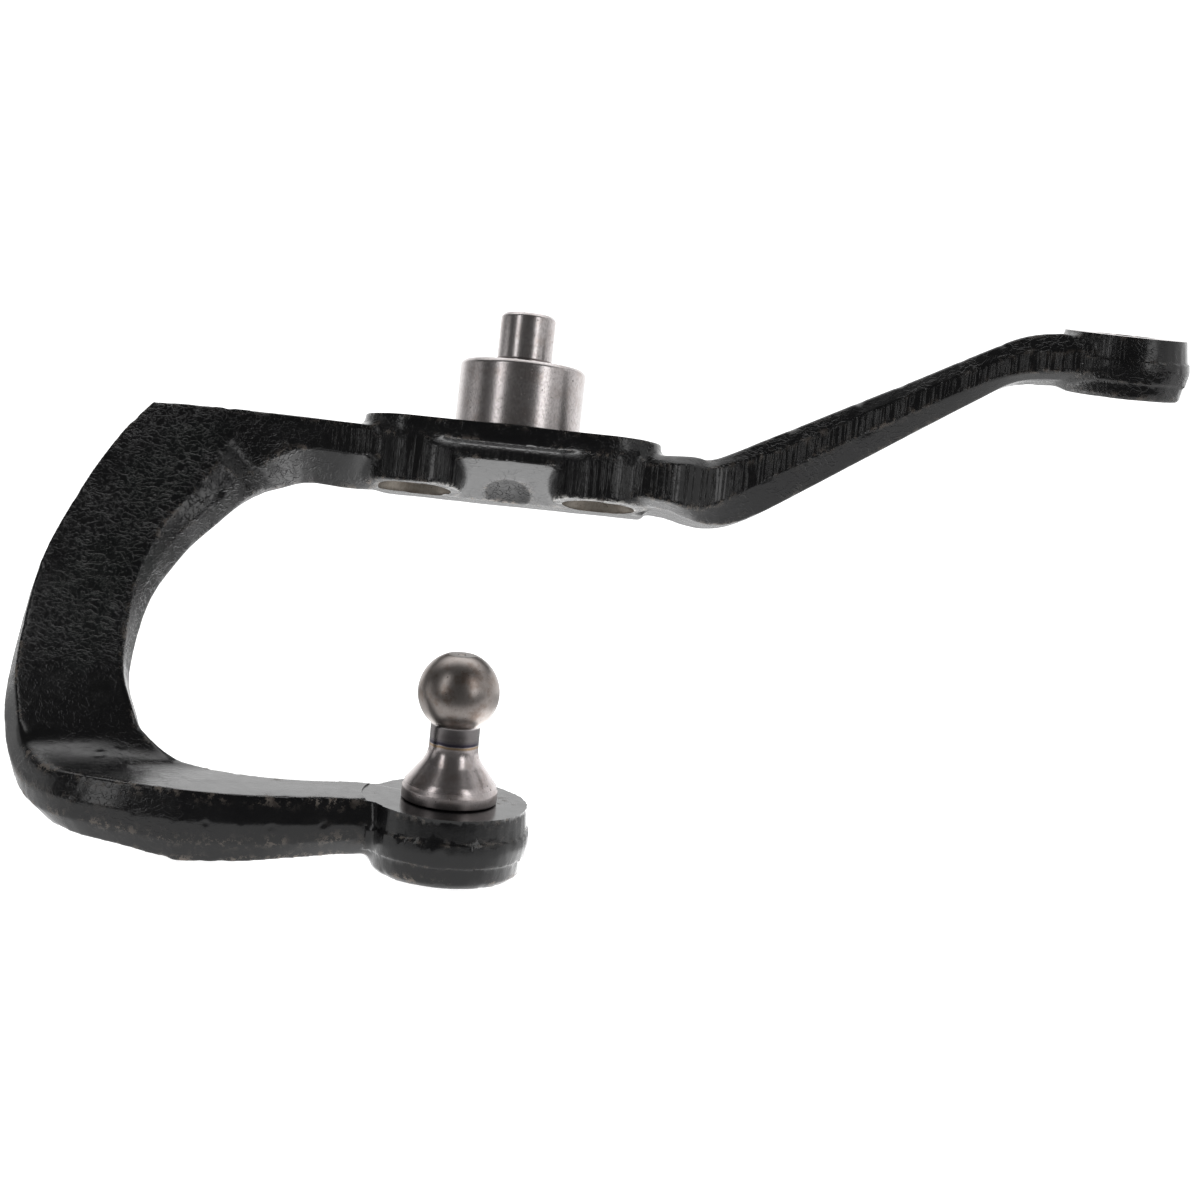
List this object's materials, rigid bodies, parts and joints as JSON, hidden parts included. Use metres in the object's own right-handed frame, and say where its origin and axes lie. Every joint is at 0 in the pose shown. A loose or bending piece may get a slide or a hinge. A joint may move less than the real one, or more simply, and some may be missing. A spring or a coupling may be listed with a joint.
{
  "type": "steering knuckle arm",
  "caption": "Forged steering knuckle arm: flange with upright king-pin stub, C-shaped gooseneck with ball stud, and long cranked arm with a tapered tie-rod eye.",
  "frame": {"origin": "on the king-pin axis at the machined face of the flange, centre of the four stud holes", "axes": "+Z along the king-pin stub, +X towards the tie-rod eye, +Y away from the side that the gooseneck's face is turned to"},
  "size_m": [0.3303, 0.139, 0.1786],
  "materials": {
    "painted_forging": "glossy black paint over a rough hot-forged skin, worn to brown-grey along edges",
    "turned_steel": "fine turned and ground bare steel with circumferential marks and small oil pits",
    "hardened_steel": "bare steel, darker satin ball, a blue and straw heat-tint band on the neck, turned flare and collar"
  },
  "bodies": {
    "root": {"forged_arm": "painted_forging", "trunnion_pin": "turned_steel", "ball_stud": "hardened_steel"}
  },
  "joints": []
}
